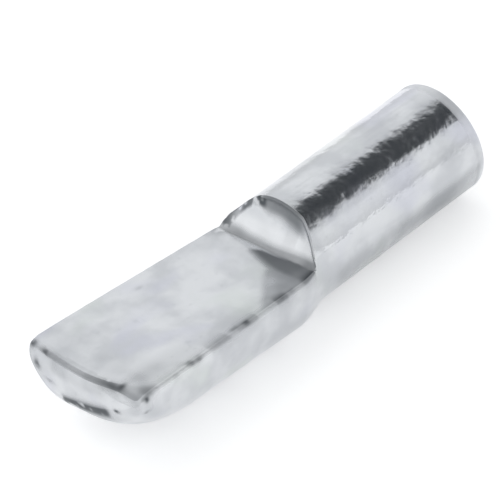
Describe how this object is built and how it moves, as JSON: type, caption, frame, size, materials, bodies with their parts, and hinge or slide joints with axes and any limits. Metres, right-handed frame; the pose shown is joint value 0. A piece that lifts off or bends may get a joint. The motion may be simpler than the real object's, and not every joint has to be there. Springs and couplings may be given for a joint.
{
  "type": "shelf support pin",
  "caption": "Round steel pin with one half pressed into a flat-topped, round-bottomed spoon that carries a shelf; the round end pushes into a hole in the cabinet side.",
  "frame": {"origin": "on the pin's axis, where the straight round wall begins at the foot of the flare", "axes": "+X along the pin to its free end, +Z to the side the shelf rests on, +Y to the left of someone who looks along +X"},
  "size_m": [0.0208, 0.0064, 0.0051],
  "materials": {
    "plated_steel": "bright plating over cold-pressed steel rod, semi-gloss and lightly mottled"
  },
  "bodies": {
    "root": {"support_pin": "plated_steel"}
  },
  "joints": []
}
